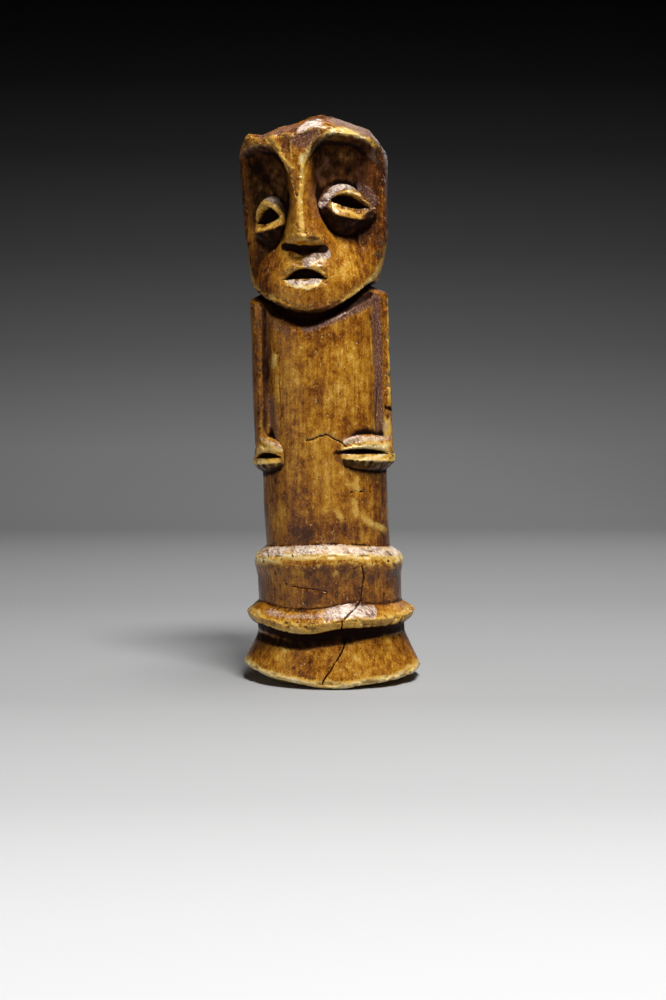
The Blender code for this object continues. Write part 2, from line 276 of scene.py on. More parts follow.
def cowrie(across, height, shell):
    """A shell-like lens with a slit: how far it stands out of the ground that it is carved on.

    across is an angle from the lens's middle, and height is taken from the slit's lower line.
    """
    span = np.maximum(1 - (across / shell.half_width) ** 2, 0)
    outline = np.maximum(span, 0.01) ** shell.bluntness
    low, high, reached = slit_edges(across, shell)
    lid = shell.lid * np.sqrt(span) * (1 - 0.16 * ramp(height, low, high))
    cut = np.minimum(shell.depth, lid) * reached
    crest = 0.5 * (high - low) + (shell.top - 0.5 * shell.opening) * outline
    above = ramp(height, np.minimum(high, crest - 0.2), crest + 0.05)
    below = ramp(-height, shell.shelf * outline, (shell.shelf + shell.under) * outline)
    swell = np.sqrt(1 - above ** 2) * (1 - below ** 1.3)
    ledge = 0.40 * ramp(height, -shell.shelf * outline, low)
    slit = np.maximum(ramp(height, low - 0.05, low + 0.25), ledge) * ramp(height, high, high - 0.35)
    return lid * swell - cut * slit


def lens_parts(across, height, shell):
    """1 on a lens's lids and lower ledge, and 1 on the slope under them, which takes painted shade."""
    span = np.maximum(1 - (across / shell.half_width) ** 2, 0)
    outline = np.maximum(span, 0.01) ** shell.bluntness
    ledge = shell.shelf * outline
    inside = ease(span, 0, 0.12)
    lids = inside * ramp(-height, ledge + 0.15, ledge - 0.15)
    lids = lids * ramp(height, shell.top + 0.3, shell.top - 0.8)
    lids = lids * ramp(height, shell.top * outline + 1, shell.top * outline - 0.6)
    slope = inside * ramp(-height, ledge - 0.1, ledge + 0.3)
    foot = (shell.shelf + shell.under) * outline
    slope = slope * ramp(-height, foot + 1.8, foot)
    return lids, slope


def either(measure, places, shells):
    """The greater of what a measure gives for the right lens and for the left one."""
    return np.maximum(*(measure(*place, shell) for place, shell in zip(places, shells)))


def on_hands(angle, height):
    """Each place as seen from the two hands, which wrap round from the front to the sides."""
    right = (angle - RIGHT_HAND_ANGLE, height - RIGHT_HAND_LINE)
    return right, (-LEFT_HAND_ANGLE - angle, height - LEFT_HAND_LINE)


def torso(angle, height):
    """The shaft between the upper ring and the neck, with its arms and hands."""
    hand = either(cowrie, on_hands(angle, height), HANDS)
    along_arm = ease(height, ARM_FOOT - 0.8, ARM_FOOT + 0.7)
    arm = ARM_RISE * arm_cover(angle) * along_arm
    groove = ARM_GROOVE * arm_grooves(angle) * ease(height, ARM_FOOT - 0.3, ARM_FOOT + 3.7)
    return np.maximum(arm, hand) - groove


def sockets(turned, height, brow_height):
    """The two hollows of the face, from the brow down to the cheeks and out to the temples."""
    below = brow_height - height
    side = np.abs(turned)
    ridge = -2 + 6 * ramp(height, 128, 114)
    inner = np.abs(turned + 4 * ease(height, 112, 124))
    outer = np.where(turned > 0, 60, 46)
    flank = 20 + 16 * ramp(height, 127, 114)
    across = ease(inner, ridge, ridge + flank) * (1 - ease(side, outer, 84))
    down = ease(below, -0.4, 1.7) * (0.50 + 0.50 * ease(below, 0, 14))
    cheek = 1 - ease(height, 122, 102)
    return SOCKET_DEPTH * across * down * cheek


def brow(side, middle, top, inner_drop, outer_sag):
    """The height of a brow's arch to one side of the nose, where it has dropped by inner_drop."""
    inner = inner_drop * np.clip((middle - side) / middle, 0, 1.2) ** 5
    return top - inner - outer_sag * np.maximum(side - middle, 0) ** 2


def brows(turned):
    """The height of the two brows' arches."""
    right = brow(turned, 45, RIGHT_BROW_TOP, 9.5, 0.0047)
    left = brow(-turned, 60, LEFT_BROW_TOP, 25, 0.0030)
    return np.where(turned > 0, right, left)


def mouth_opening(turned):
    """The height of the mouth's upper edge, how much of its depth is reached, and its arch."""
    mouth_side = (turned + MOUTH_ANGLE) / MOUTH_HALF_WIDTH
    arch = np.maximum(1 - mouth_side ** 2, 0)
    return MOUTH_LINE + MOUTH_RISE * arch, ease(arch, 0, 0.12), arch


def nose_and_mouth(turned, height):
    """What stands out of the middle of the face, less what is cut into it."""
    wing = 5.5 + 3.5 * ramp(height, 131, 118) + 8 * ease(height, 119.5, NOSE_TIP)
    middle = -4 + 1.5 * ease(height, 120, NOSE_TIP)
    on_nose = (1 - ramp(np.abs(turned - middle), 0.08 * wing, 1.6 * wing)) ** 1.9
    length = ease(height, 137, 130) * ease(height, NOSE_TIP - 1.3, NOSE_TIP - 0.1)
    nose = on_nose * length * (0.3 + 1.4 * ramp(height, 130, NOSE_TIP))
    muzzle = ease(np.abs(turned + 1), 25, 6)
    lip = muzzle * (1.9 * ease(height, NOSE_TIP - 0.9, NOSE_TIP - 2) * (1 - ease(height, 111.2, 108.2)))
    nostrils = 0.8 * bump(np.hypot((np.abs(turned + 2) - 8) / 7, (height - 113.1) / 1.5), 0, 1)
    line = MOUTH_LINE
    opening, inside, arch = mouth_opening(turned)
    slit = MOUTH_DEPTH * inside * ramp(height, opening, opening - 0.35)
    slit = slit * ramp(height, line - 0.1, line + 0.2)
    ledge = 1.1 * inside * ramp(height, line + 0.1, line)
    ledge = ledge * (1 - ramp(height, line, line - 0.1 - 2.6 * arch))
    return nose - lip - nostrils - slit - ledge


def on_eyes(turned, height):
    """Each place as seen from the two eyes, the left one lower, both drooping outwards."""
    right = turned - EYE_ANGLE
    left = -turned - EYE_ANGLE
    right_line = RIGHT_EYE_LINE - EYE_DROOP * right / EYE_DROOP_SPAN
    left_line = LEFT_EYE_LINE - EYE_DROOP * left / EYE_DROOP_SPAN
    return (right, height - right_line), (left, height - left_line)


def head(angle, height):
    """The half width of the head before its face is carved, from the jaw to the crown."""
    jaw = jaw_height(angle)
    side = np.sin(np.radians(angle))
    jaw_radius = JAW_RADIUS + 1.9 * front_share(angle)
    jaw_radius = jaw_radius - 1.2 * np.maximum(side, 0) + 0.9 * np.maximum(-side, 0)
    full = jaw_radius + (HEAD_RADIUS - 0.6 - jaw_radius) * ramp(height, jaw - 0.5, CHEEK_HEIGHT) ** 0.62
    return full + (0.6 + head_side(angle)) * ramp(height, CHEEK_HEIGHT - 3, HEAD_FULL_HEIGHT)


def face(angle, height):
    """What the face's carving takes away, negative where it adds."""
    turned = angle - FACE_TURN
    carved = sockets(turned, height, brows(turned))
    eyes = either(cowrie, on_eyes(turned, height), EYES)
    return carved - eyes - nose_and_mouth(turned, height)


def neck_reach(angle):
    """How far the neck's hollow reaches below the jaw."""
    return NECK_REACH + 2.4 * bump(angle, -28, 45)


def surface_radius(angle, height):
    """The distance from the leaning axis to the surface."""
    jaw = jaw_height(angle)
    neck = NECK_RADIUS - 0.7 * np.maximum(np.sin(np.radians(angle)), 0)
    body = lower_body(angle, height) + torso(angle, height)
    body = body + (neck - body) * ease(height, jaw - neck_reach(angle), jaw - 0.6)
    top = head(angle, height)
    over = ramp(height, jaw - 0.7, jaw + 0.3)
    half_width = body + (top - body) * over
    radius = half_width * oval(angle, DEPTH_RATIO)
    return radius - over * face(angle, height)


def crown_top(across, along):
    """The height of the crown over a place on the head's plan."""
    carved = np.interp(across, CROWN_ACROSS, CROWN_HEIGHT)
    plain = CROWN_MIDDLE - 0.0185 * across * across
    shown = carved + (plain - carved) * ease(along, -4, 10)
    cut = np.interp(-along + 0.12 * across, CROWN_BACK, CROWN_FALL)
    return shown - CROWN_OVERHANG - np.where(along > 0, CROWN_SAG * along * along, cut)


def round_over(distance, size, turn=90):
    """How far an edge, rounded through a turn in degrees, draws in at a distance from its end."""
    reach = math.sin(math.radians(turn))
    share = reach * (1 - np.clip(distance / (size * reach), 0, 1))
    return size * (1 - np.sqrt(np.maximum(1 - share * share, 0)))


def head_side(angle):
    """How much wider the head is on its left."""
    return 0.45 * ease(-np.sin(np.radians(angle)), 0.3, 1)


def on_plan(radius, angle):
    """A place seen from above: how far it lies across and along."""
    return radius * np.sin(np.radians(angle)), -radius * np.cos(np.radians(angle))


def side_top(angle):
    """The height at which the side turns into the crown."""
    drawn_in = round_over(0, CROWN_EDGE_ROUND, CROWN_EDGE_TURN)
    radius = (HEAD_RADIUS + head_side(angle)) * oval(angle, DEPTH_RATIO) - drawn_in
    return crown_top(*on_plan(radius, angle))


def carved_places(angle, share):
    """The place of each point, from its angle and its share of the way from crown to underside."""
    top = side_top(angle)
    bottom = foot_rim_height(angle)
    down = ramp(share, CROWN_SHARE, 1 - UNDERSIDE_SHARE)
    height = top + (bottom - top) * down
    radius = surface_radius(angle, height)
    radius = radius - round_over(top - height, CROWN_EDGE_ROUND, CROWN_EDGE_TURN)
    radius = radius - round_over(height - bottom, UNDERSIDE_ROUND)
    towards = ramp(share, 0, CROWN_SHARE)
    under = ramp(share, 1 - UNDERSIDE_SHARE, 1)
    radius = radius * towards * (1 - under)
    across, along = on_plan(radius, angle)
    height = np.where(share < CROWN_SHARE, crown_top(across, along), height)
    flat = bottom * ease(1 - under, CONTACT_SHARE, 1)
    height = np.where(share > 1 - UNDERSIDE_SHARE, flat, height)
    shift = BASE_SHIFT * ease(height, BASE_SHIFT_HEIGHT + 12, BASE_SHIFT_HEIGHT - 12)
    return across - LEAN * height + shift, along, height


# The grid. Rows run from the crown to the underside, and columns run round from the back.

def side_rows():
    """Shares down the side, closer together on the head, the hands and the rings."""
    down = np.linspace(0, 1, 4000)
    height = 147 - 146 * down
    density = 1 + 1.3 * ease(height, 92, 97) + 1 * bump(height, 60, 10)
    density = density + 1.3 * ease(height, 40, 36) * ease(height, 0, 3)
    density = density + 1.5 * ease(height, 3, 1)
    reached = np.concatenate([[0], np.cumsum(0.5 * (density[1:] + density[:-1]))])
    return np.interp(np.linspace(0, reached[-1], SIDE_ROWS), reached, down)


def grid():
    """The angle of each column and the share of each row."""
    turn = np.linspace(-math.pi, math.pi, COLUMNS, endpoint=False)
    angle = np.degrees(turn - FRONT_FOCUS * np.sin(turn))
    crown = np.linspace(0, CROWN_SHARE, CROWN_ROWS + 1)[1:]
    side = CROWN_SHARE + (1 - UNDERSIDE_SHARE - CROWN_SHARE) * side_rows()[1:]
    under = np.linspace(1 - UNDERSIDE_SHARE, 1, UNDERSIDE_ROWS + 1)[1:-1]
    share = np.concatenate([crown, side, under])
    return angle, share


def normals_of(places):
    """The outward direction at each point of the grid, from its neighbours."""
    round_it = np.roll(places, -1, axis=1) - np.roll(places, 1, axis=1)
    downwards = np.gradient(places, axis=0)
    normals = np.cross(downwards, round_it)
    return normals / np.maximum(np.linalg.norm(normals, axis=2, keepdims=True), 1e-9)


def softened(values, reach):
    """A grid of values, blurred over a number of rows and columns."""
    width = 2 * reach + 1
    for _ in range(2):
        padded = np.concatenate([values[:, -reach:], values, values[:, :reach]], axis=1)
        total = np.cumsum(padded, axis=1)
        total = np.concatenate([np.zeros_like(total[:, :1]), total], axis=1)
        values = (total[:, width:] - total[:, :-width]) / width
        above = np.repeat(values[:1], reach, 0)
        under = np.repeat(values[-1:], reach, 0)
        padded = np.concatenate([above, values, under], axis=0)
        total = np.cumsum(padded, axis=0)
        total = np.concatenate([np.zeros_like(total[:1]), total], axis=0)
        values = (total[width:] - total[:-width]) / width
    return values


def standing_out(places, normals, reach):
    """How far each point stands out of its surroundings, negative in hollows."""
    return np.sum((places - softened(places, reach)) * normals, axis=2)


# Noise, from numbers spread over a lattice.

def lattice_values(column, row, layer, seed):
    """A number from -1 to 1 for each corner of the lattice."""
    mixed = column * 73856093 ^ row * 19349663 ^ layer * 83492791 ^ seed * 2654435
    mixed = (mixed ^ (mixed >> 13)) * 1274126177 & 0x7FFFFFFF
    mixed = (mixed ^ (mixed >> 16)) * 668265263 & 0x7FFFFFFF
    return (mixed ^ (mixed >> 15)) % 65536 / 32767.5 - 1


def noise(places, size, seed):
    """Smooth noise from about -1 to 1, with lumps of the given size, one length or one each way."""
    scaled = places / np.asarray(size, dtype=float) + 1000
    corner = np.floor(scaled).astype(np.int64)
    part = scaled - corner
    part = part * part * (3 - 2 * part)
    total = 0
    for step in np.ndindex(2, 2, 2):
        near = np.where(step, part, 1 - part)
        weight = near[..., 0] * near[..., 1] * near[..., 2]
        total = total + weight * lattice_values(*np.moveaxis(corner + step, -1, 0), seed)
    return total


def rough(places, size, seed, layers=3):
    """Noise with finer noise on it."""
    total = 0
    strength = 1
    for layer in range(layers):
        finer = np.asarray(size, dtype=float) / 2 ** layer
        total = total + strength * noise(places, finer, seed + 17 * layer)
        strength *= 0.5
    return total / 1.6


# Marks placed where the photograph shows them, by its pixels, on the side that it shows.

def seen_from_camera(places, normals):
    """Each point's pixel in the photograph, and 1 where its surface faces the camera."""
    pitch = math.radians(CAMERA_PITCH)
    offset = places / MM_PER_METRE - np.array(CAMERA_PLACE)
    depth = offset @ np.array([0, math.cos(pitch), -math.sin(pitch)])
    rise = offset @ np.array([0, math.sin(pitch), math.cos(pitch)])
    column = 0.5 * IMAGE_WIDTH + FOCAL_PIXELS * offset[..., 0] / depth
    row = 0.5 * IMAGE_HEIGHT - FOCAL_PIXELS * rise / depth
    return column, row, ease(-normals[..., 1], -0.05, 0.25)


def stroke(pixels, points, half_width, edge):
    """1 within half_width pixels of a line through the points, falling to 0 over the edge's width."""
    column, row, facing = pixels
    points = np.reshape(points, (-1, 2))
    nearest = np.full(column.shape, 1e3)
    lows = np.min(points, axis=0) - half_width - edge
    highs = np.max(points, axis=0) + half_width + edge
    near = (column > lows[0]) & (column < highs[0]) & (row > lows[1]) & (row < highs[1]) & (facing > 0)
    spots = np.stack([column[near], row[near]], axis=1)
    least = np.full(len(spots), 1e3)
    for start, end in zip(points[:-1], points[1:]):
        start = np.array(start, dtype=float)
        way = np.array(end, dtype=float) - start
        share = np.clip((spots - start) @ way / (way @ way), 0, 1)
        least = np.minimum(least, np.linalg.norm(spots - start - share[:, None] * way, axis=1))
    nearest[near] = least
    return ramp(nearest, half_width + edge, half_width) * facing


def spot(pixels, centre, reach, edge=0.6):
    """1 in an oval of pixels, falling to 0 over a share of its reach."""
    column, row, facing = pixels
    distance = np.hypot((column - centre[0]) / reach[0], (row - centre[1]) / reach[1])
    return ramp(distance, 1, 1 - edge) * facing


# Each crack: the points that it runs through, its half width and its depth.
CRACKS = (
    ((362, 566, 364, 578, 362, 590, 361, 600, 355, 609, 348, 615, 343, 621, 341, 630), 0.45, 0.75),
    ((345, 638, 345, 644, 342, 652, 337, 660, 332, 668, 327, 676, 322, 685), 0.55, 0.75),
    ((306, 440, 313, 439, 320, 436, 326, 434, 333, 438, 339, 441, 346, 447), 0.4, 0.6),
    ((349, 493, 356, 491, 366, 492), 0.4, 0.45), ((292, 586, 303, 588, 316, 590, 326, 592), 0.55, 0.35),
    ((377, 388, 377, 402, 376, 420, 376, 438), 0.5, 0.5),
    ((279, 383, 280, 398, 281, 414, 280, 428), 0.35, 0.3),
)
# Each ridge, or dip: its points, half width, edge's width and height.
RIDGES = (
    ((271, 136, 277, 147, 284, 158, 291, 168), 0.6, 4, 0.32),
    ((291, 137, 291, 150, 292, 162), 0.4, 3, 0.22), ((297, 134, 306, 131, 316, 128), 0.6, 2.5, 0.28),
    ((316, 128, 311, 140, 305, 153), 0.6, 4, 0.24), ((284, 150, 283, 142), 3, 4, -0.22),
    ((301, 146, 305, 138), 4, 4, -0.22),
)


def main_relief(places, normals, pixels):
    """The hand-cut waviness, the grain, the nicked edges, the cracks and the pits."""
    edge = standing_out(places, normals, 9)
    relief = 0.12 + 0.16 * noise(places, 9, 3) + 0.07 * noise(places, (3.2, 3.2, 5), 5)
    relief = relief + 0.028 * noise(places, (0.8, 0.8, 6), 7) + 0.018 * rough(places, 0.7, 11, 2)
    chipped = np.clip(rough(places, (2.2, 2.2, 1.6), 23) - 0.05, 0, 1)
    relief = relief - 1.1 * chipped * ramp(edge, 0.10, 0.45)
    relief = relief - 0.25 * np.clip(noise(places, 1.1, 29), 0, 1) * ramp(edge, 0.08, 0.35)
    pits = ramp(noise(places, (1, 1, 1.4), 31), 0.74, 0.88) * ramp(noise(places, 12, 37), 0, 0.4)
    pits = pits * ease(places[..., 2], 95, 80)
    for points, half_width, softness, height in RIDGES:
        relief = relief + height * stroke(pixels, points, half_width, softness)
    relief = relief - 0.16 * pits
    cracks = 0
    column, row, facing = pixels
    wander = (column + 0.5 * noise(places, 1.6, 41), row + 0.5 * noise(places, 1.6, 43), facing)
    for points, half_width, depth in CRACKS:
        line = stroke(wander, points, 0.15 * half_width, 0.9 * half_width + 0.35)
        line = line * ramp(noise(places, 1.2, 47), -0.9, -0.35)
        relief = relief - depth * line
        cracks = np.maximum(cracks, line * ramp(depth, 0.2, 0.5))
    return relief, cracks, pits


def make_mesh(places, marks):
    """A closed mesh from the grid, with each mark kept as a number on its vertices."""
    rows, columns = places.shape[:2]
    crown = places[0].mean(axis=0)
    sole = places[-1].mean(axis=0)
    vertices = np.concatenate([places.reshape(-1, 3), [crown, sole]])
    index = np.arange(rows * columns).reshape(rows, columns)
    beside = np.roll(index, -1, axis=1)
    quads = np.stack([index[1:], beside[1:], beside[:-1], index[:-1]], axis=2).reshape(-1, 4)
    top = np.stack([index[0], beside[0], np.full(columns, rows * columns)], axis=1)
    bottom = np.stack([beside[-1], index[-1], np.full(columns, rows * columns + 1)], axis=1)
    corners = np.concatenate([quads.ravel(), top.ravel(), bottom.ravel()])
    starts = np.concatenate([
        np.arange(len(quads)) * 4,
        len(quads) * 4 + np.arange(len(top) + len(bottom)) * 3,
    ])
    mesh = bpy.data.meshes.new("carved_figure")
    mesh.vertices.add(len(vertices))
    mesh.vertices.foreach_set("co", vertices.ravel())
    mesh.loops.add(len(corners))
    mesh.loops.foreach_set("vertex_index", corners)
    mesh.polygons.add(len(starts))
    mesh.polygons.foreach_set("loop_start", starts)
    mesh.update(calc_edges=True)
    mesh.validate()
    for name, values in marks.items():
        kept = mesh.attributes.new(name, "FLOAT", "POINT")
        flat = values.ravel()
        ends = [values[0].mean(), values[-1].mean()]
        kept.data.foreach_set("value", np.concatenate([flat, ends]).astype(np.float32))
    return mesh


def reduce(figure, triangles):
    """Keeps the form and cuts the triangles down to a count."""
    count = sum(len(face.vertices) - 2 for face in figure.data.polygons)
    cut = figure.modifiers.new("fewer_triangles", "DECIMATE")
    cut.ratio = triangles / count
    cut.use_collapse_triangulate = True
    seen = figure.evaluated_get(bpy.context.evaluated_depsgraph_get())
    full = figure.data
    figure.data = bpy.data.meshes.new_from_object(seen)
    figure.modifiers.clear()
    bpy.data.meshes.remove(full)
    figure.data.name = "carved_figure"


def settled(places):
    """The carving's places in millimetres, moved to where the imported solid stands."""
    low, high = (np.array(corner) * MM_PER_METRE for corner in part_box("bone_figure"))
    own_low = places.reshape(-1, 3).min(axis=0)
    own_high = places.reshape(-1, 3).max(axis=0)
    scale = (high[2] - low[2]) / (own_high[2] - own_low[2])
    middle = 0.5 * (own_low + own_high)
    moved = (places - [middle[0], middle[1], own_low[2]]) * scale
    return moved + [0.5 * (low[0] + high[0]), 0.5 * (low[1] + high[1]), low[2]]


# The patina's marks, for the material, with painted shade, painted shadows, painted highlights and a
# painted reflection among them. Each line has its points, half width, edge's width and strength, and
# each spot has its centre, reach and strength.

# Rubbed lines; the nose ridge lines are painted highlights over a rubbed ridge, and the philtrum line
# is a painted highlight.
WORN_AND_HIGHLIGHT_LINES = (
    ((303, 160, 309, 152, 317, 144, 326, 137, 336, 132), 1.6, 3, 0.75),
    ((328, 135, 338, 131, 350, 132, 362, 136), 2.4, 4, 0.85),
    ((364, 136, 373, 142, 382, 152), 1.4, 3, 0.7),
    ((271, 137, 277, 147, 284, 158, 291, 167), 0.8, 2.4, 0.55),
    ((291, 138, 291, 150, 292, 160), 0.4, 1.8, 0.4), ((303, 158, 302, 172, 301, 190), 0.8, 3.4, 0.62),
    ((301, 190, 300, 205, 301, 222, 303, 238), 1, 3.4, 0.66),
    ((257, 213, 264, 203, 272, 201, 280, 207), 2, 3, 0.55),
    ((334, 196, 345, 188, 358, 189, 368, 198), 1.6, 3, 0.45), ((310, 262, 321, 257), 3.4, 2.5, 0.8),
    ((331, 199, 338, 194.5, 346, 191.8, 356, 193, 364, 198, 372, 206), 0.9, 1.6, 0.9),
    ((331, 204, 340, 209, 350, 213.5, 360, 216, 370, 211), 1.2, 1.8, 0.62),
    ((256, 219, 262, 210, 269, 206, 277, 209, 282, 214), 0.8, 1.6, 0.6),
    ((257, 229, 263, 230, 271, 226, 279, 220, 284, 213), 1, 1.6, 0.55),
    ((286, 281, 295, 286, 305, 288.5, 316, 285, 325, 278), 1.4, 1.4, 1),
    ((286, 275, 295, 268, 305, 265.5, 316, 268, 325, 274), 0.6, 1.6, 0.6),
    ((387, 243, 384, 258, 377, 272, 366, 285, 352, 296, 338, 304), 1.6, 2.4, 0.75),
    ((247, 256, 251, 274, 258, 290, 268, 303), 1, 2.4, 0.5),
    ((345, 449, 356, 446.5, 372, 447, 388, 445.5), 1.6, 1.8, 0.9),
    ((350, 456, 362, 459.5, 376, 458.5, 388, 453), 1.6, 1.8, 0.85),
    ((260, 446, 268, 449, 280, 450), 1.2, 1.8, 0.8), ((262, 460, 270, 464, 278, 462), 1.6, 1.8, 0.75),
    ((388, 300, 388.5, 340, 389, 400), 0.8, 1.6, 0.6), ((356, 478, 357, 489), 1.4, 3, 0.6),
    ((354, 501, 356, 516), 1.6, 3, 0.62), ((336, 512, 343, 519), 1.2, 3.4, 0.55),
    ((362, 518, 371, 524, 382, 528), 1.6, 3.4, 0.72), ((346, 484, 356, 486), 0.8, 2.4, 0.6),
    ((388, 504, 389, 530), 1, 2.4, 0.5), ((274, 356, 274, 366), 1.6, 3, 0.7),
    ((276, 378, 277, 425), 0.8, 2.5, 0.35),
    ((248, 664, 256, 673, 272, 680, 300, 686, 325, 688), 1.4, 2, 0.85),
    ((325, 688, 360, 684, 392, 677, 416, 664), 1.2, 2, 0.8),
    ((254, 622, 272, 628, 290, 633, 308, 632), 1.4, 2, 0.75),
    ((342, 627, 360, 624, 385, 622, 408, 616), 0.8, 2.2, 0.6),
)
# Rubbed spots; the one on the nose's bridge is a painted highlight.
WORN_AND_HIGHLIGHT_SPOTS = (
    ((302, 160), (5, 9), 0.95), ((345, 131), (19, 6), 0.88), ((374, 142), (5, 8), 0.7),
    ((272, 141), (4, 6), 0.6), ((293, 169), (2, 2), 1), ((361, 291), (11, 7), 0.8),
    ((273, 300), (5, 10), 0.7), ((386, 428), (8, 14), 0.8), ((325, 511), (9, 6), 0.4),
    ((335, 573), (6, 4), 0.6), ((383, 529), (8, 6), 0.4), ((336, 272), (7, 8), 0.35),
    ((330, 398), (12, 8), 0.3),
)
# Dusky lines, part the bone's own dull colour and part a painted reflection of the grey surroundings.
PURPLE_AND_REFLECTION_LINES = (
    ((376, 308, 377, 360, 378, 400, 379, 432), 3.4, 3.2, 0.78),
    ((266.5, 314, 266, 380, 266.5, 432), 3.4, 2.5, 0.45),
    ((272, 400, 273, 420, 276, 436), 3, 4, 0.7),
    ((308, 326, 330, 318, 352, 309, 374, 299), 4, 5, 0.85),
    ((262, 312, 272, 322, 286, 330), 4, 5, 0.5),
    ((324, 206, 330, 194, 340, 186, 352, 184, 366, 191, 374, 201), 3.4, 2.5, 0.9),
    ((268, 198, 278, 202, 285, 210), 2.6, 2.5, 0.8), ((318, 215, 322, 203, 316, 196), 3, 4, 0.5),
    ((296, 140, 306, 142, 314, 134), 5, 4, 0.6), ((336, 120, 352, 125, 366, 132), 4, 4, 0.8),
    ((262, 134, 276, 131, 292, 126), 3, 4, 0.6), ((282, 128, 294, 126), 2.5, 3, 0.6),
    ((380, 436, 390, 420, 388, 412), 2, 3, 0.5),
)
# Chalky lines; those on the philtrum, the crown's facet and the lower ring's top are painted
# highlights.
CHALK_AND_HIGHLIGHT_LINES = (
    ((321, 205, 327, 196, 336, 187, 346, 183, 358, 187), 2.6, 3, 0.85),
    ((266, 198, 276, 198, 286, 208), 1.6, 2.5, 0.7), ((333, 205, 348, 209, 366, 211), 0.8, 1.4, 0.35),
    ((290, 282, 305, 283.5, 321, 280), 1.8, 1.6, 1), ((308, 262, 316, 258, 325, 254), 4.2, 2, 1),
    ((330, 614, 350, 612, 370, 612), 4.6, 4, 0.95),
    ((268, 612, 290, 617, 318, 616, 345, 614), 2, 2.5, 0.6),
    ((345, 441, 356, 439, 390, 438), 1.8, 2, 0.7), ((262, 438, 270, 443, 280, 448), 1.6, 2, 0.6),
    ((301, 130, 308, 124, 318, 123), 3, 2.5, 0.9), ((322, 122, 340, 122, 356, 127), 1.5, 3, 0.4),
)
# Dark lines: painted shadows under the nose, under both eyes, under the jaw and chin and under the
# lower ring; dark grooves, joints, nicks and cracks.
DARK_LINES = (
    ((286, 247, 295, 248, 304, 252, 313, 249, 324, 249), 3.4, 2, 0.95),
    ((326, 212, 336, 224, 350, 232, 364, 228, 372, 216), 4, 5, 0.75),
    ((262, 240, 270, 246, 279, 236), 5, 5, 0.65),
    ((258, 294, 274, 314, 305, 324, 336, 314, 370, 295), 2, 3, 0.8),
    ((252, 634, 275, 642, 300, 646, 345, 640, 380, 632, 406, 626), 3, 4, 0.8),
    ((385, 407, 391, 409), 1.4, 1.2, 1),
    ((276, 303, 288, 309, 306, 312, 324, 309, 340, 301), 0.6, 3.6, 0.6),
    ((268, 604, 286, 611, 306, 612), 0.5, 1.6, 0.6),
    ((264.5, 308, 264, 360, 265.5, 430), 1.4, 3, 0.62), ((266, 547, 269, 557), 0.3, 1, 0.7),
    ((276, 548, 280, 554), 0.3, 1, 0.6), ((291, 549, 293, 557), 0.3, 1, 0.7),
    ((306, 548, 310, 553), 0.3, 1, 0.5), ((344, 547, 347, 553), 0.3, 1, 0.5),
    ((362, 549, 370, 552, 378, 549), 0.3, 1, 0.7), ((258, 556, 270, 560, 284, 559), 0.3, 1.2, 0.5),
    ((386, 551, 392, 556), 0.3, 1, 0.7), ((352, 606, 380, 603, 402, 598), 0.5, 1.6, 0.6),
)
# Dark spots: painted shade in the left eye's hollow, under the left eye and on the left side between
# the rings, which turn from the light; dark marks on the left groove, the brow and the belly.
DARK_SPOTS = (
    ((267, 374), (6, 64), 0.72), ((258, 168), (18, 28), 0.95), ((266, 180), (16, 26), 0.85),
    ((259, 580), (7, 24), 0.45), ((262, 250), (9, 14), 0.5), ((347, 126), (4, 2), 0.45),
    ((330, 131), (3, 2), 0.4), ((374, 527), (4, 2.5), 0.8), ((381, 524), (3, 2.5), 0.8),
    ((368, 522), (2.5, 2), 0.7), ((370, 145), (3, 4), 0.6), ((368, 132), (4, 3), 0.5),
)
# Lighter and darker patches: painted shade on the left of the face, along the left edge of the body, on
# the sides of the rings and on the right of the foot, painted light on the right cheek, and patches of
# darker and lighter brown elsewhere.
LIGHT_SHADE_AND_TONE_SPOTS = (
    ((264, 272), (24, 36), -0.8), ((305, 300), (24, 12), -0.15), ((350, 262), (26, 22), 0.15),
    ((340, 350), (34, 34), 0.15), ((300, 330), (26, 14), -0.15), ((300, 533), (40, 14), -0.3),
    ((345, 528), (20, 12), -0.25), ((378, 495), (9, 34), -0.25), ((282, 146), (9, 12), -0.25),
    ((305, 143), (11, 10), -0.2), ((257, 370), (7, 80), -0.45), ((267, 372), (5, 62), -0.75),
    ((262, 580), (10, 22), -0.5), ((398, 580), (8, 22), -0.25), ((258, 146), (12, 14), -0.3),
    ((320, 470), (40, 44), 0.4), ((272, 480), (9, 50), -0.2), ((360, 665), (30, 16), 0.1),
    ((310, 655), (30, 14), 0.12), ((263, 655), (12, 18), -0.05), ((410, 645), (12, 18), -0.3),
)


